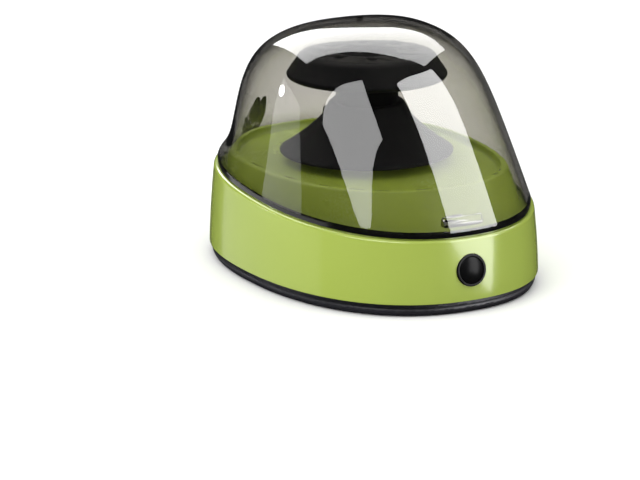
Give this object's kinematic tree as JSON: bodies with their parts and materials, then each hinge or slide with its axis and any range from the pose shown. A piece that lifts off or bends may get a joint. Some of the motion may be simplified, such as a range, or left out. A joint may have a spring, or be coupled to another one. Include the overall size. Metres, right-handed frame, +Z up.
{
  "type": "mini centrifuge",
  "caption": "Low egg-shaped bench centrifuge with a front push button, a hinged clear dome and two stacked tube rotors on one drive axis.",
  "frame": {"origin": "middle of the footprint, on the surface the feet stand on", "axes": "+Z up, -Y to the front with the push button, +Y to the back with the lid hinge, X across"},
  "size_m": [0.1784, 0.2393, 0.1505],
  "materials": {
    "green_plastic": "gloss",
    "chamber_plastic": "gloss",
    "clear_plastic": "polished, slightly smoky",
    "charcoal_plastic": "matte",
    "black_gloss": "gloss",
    "black_satin": "satin",
    "seal_rubber": "smooth",
    "foot_rubber": "matte",
    "steel": "satin",
    "zinc_steel": "plated",
    "hub_aluminium": "turned",
    "bronze": "sintered",
    "brass": "bright",
    "magnet": "ground",
    "copper_winding": "enamelled",
    "board_laminate": "satin",
    "component_plastic": "satin",
    "wire_sleeve": "satin"
  },
  "bodies": {
    "base": {"base_tray": "charcoal_plastic", "rubber_feet": "foot_rubber", "base_screws": "zinc_steel", "body_shell": "green_plastic", "chamber_bowl": "chamber_plastic", "chamber_screws": "zinc_steel", "hinge_brackets": "black_satin", "hinge_pins": "steel", "hinge_screws": "zinc_steel", "button_bezel": "black_gloss", "button_nut": "black_satin", "button_spring": "steel", "switch_body": "component_plastic", "switch_terminals": "brass", "motor_can": "steel", "motor_end_cap": "component_plastic", "motor_bushes": "bronze", "motor_magnets": "magnet", "motor_plate": "zinc_steel", "plate_grommets": "foot_rubber", "plate_screws": "zinc_steel", "motor_screws": "zinc_steel", "circuit_board": "board_laminate", "board_parts": "component_plastic", "board_screws": "zinc_steel", "power_jack": "component_plastic", "jack_pin": "brass", "motor_leads": "wire_sleeve", "switch_leads": "wire_sleeve"},
    "lid": {"lid_dome": "clear_plastic", "lid_seal": "seal_rubber"},
    "spindle": {"motor_armature": "copper_winding", "motor_commutator": "brass", "motor_shaft": "steel", "drive_hub": "hub_aluminium", "hub_screw": "steel", "grip_ring": "foot_rubber", "tube_rotor": "black_satin", "small_tube_rotor": "black_satin", "rotor_knob": "black_gloss"},
    "button": {"button_cap": "black_gloss"}
  },
  "joints": [
    {"name": "lid_hinge", "type": "hinge", "parent": "base", "child": "lid", "pos_m": [0, 0.112, 0.06902], "axis": [-1, 0, 0], "range_deg": [0, 80]},
    {"name": "rotor_spin", "type": "hinge", "parent": "base", "child": "spindle", "pos_m": [0, 0.0092, 0.1], "axis": [0, 0, 1], "continuous": true},
    {"name": "button_press", "type": "slide", "parent": "base", "child": "button", "axis": [0, 0.9877, -0.1564], "range_m": [0, 0.0016], "stiffness_N_per_m": 1500, "springref_m": -0.001}
  ]
}
